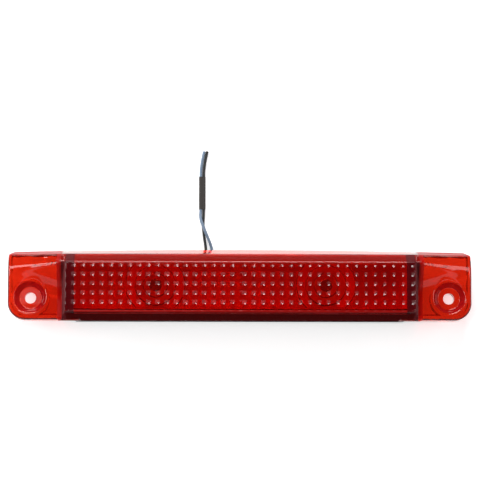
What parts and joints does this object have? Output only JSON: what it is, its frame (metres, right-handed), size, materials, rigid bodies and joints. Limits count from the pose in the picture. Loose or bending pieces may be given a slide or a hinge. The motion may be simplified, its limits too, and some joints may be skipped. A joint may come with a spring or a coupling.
{
  "type": "third brake light",
  "caption": "High-mounted brake lamp: long red lens with a screw ear at each end, on a black housing with twist-lock bulb sockets and two short leads.",
  "frame": {"origin": "middle of the box round the lamp without its free leads, level with the housing's back edge", "axes": "+X along the lamp, +Y towards the upper edge where the leads leave, +Z out of the lens"},
  "size_m": [0.286, 0.1089, 0.035],
  "materials": {
    "red_acrylic": "glossy translucent red acrylic",
    "black_plastic": "moulded satin",
    "sealant": "cured bead",
    "gasket_foam": "closed-cell foam",
    "reflector_film": "vacuum-metallised",
    "zinc_steel": "zinc plated",
    "socket_nylon": "moulded light grey nylon",
    "rubber": "matte rubber",
    "bulb_glass": "clear glass",
    "filament_metal": "bare wire",
    "contact_brass": "stamped brass",
    "grey_sheath": "PVC wire sheath, blue-grey",
    "black_sheath": "PVC wire sheath",
    "heat_shrink": "shrunk polyolefin sleeve"
  },
  "bodies": {
    "lamp": {"lens": "red_acrylic", "housing": "black_plastic", "lens_seal": "sealant", "mounting_gasket": "gasket_foam", "reflector": "reflector_film", "reflector_screw_1": "zinc_steel", "reflector_screw_2": "zinc_steel", "reflector_screw_3": "zinc_steel", "reflector_screw_4": "zinc_steel", "feed_wire_left": "grey_sheath", "ground_wire_left": "black_sheath", "feed_wire_right": "grey_sheath", "ground_wire_right": "black_sheath", "wire_grommet": "rubber", "feed_splice": "grey_sheath", "ground_splice": "black_sheath", "grey_lead": "grey_sheath", "black_lead": "black_sheath", "heat_shrink_sleeve": "heat_shrink"},
    "left_socket": {"bulb_socket_left": "socket_nylon", "socket_seal_left": "rubber", "bulb_glass_left": "bulb_glass", "bulb_filament_left": "filament_metal", "feed_contact_left": "contact_brass", "ground_contact_left": "contact_brass"},
    "right_socket": {"bulb_socket_right": "socket_nylon", "socket_seal_right": "rubber", "bulb_glass_right": "bulb_glass", "bulb_filament_right": "filament_metal", "feed_contact_right": "contact_brass", "ground_contact_right": "contact_brass"}
  },
  "joints": [
    {"name": "left_socket_turn", "type": "hinge", "parent": "lamp", "child": "left_socket", "pos_m": [-0.052, -0.0035, 0.007], "axis": [0, 0, -1], "range_deg": [0, 45]},
    {"name": "right_socket_turn", "type": "hinge", "parent": "lamp", "child": "right_socket", "pos_m": [0.052, -0.0035, 0.007], "axis": [0, 0, -1], "range_deg": [0, 45]}
  ]
}
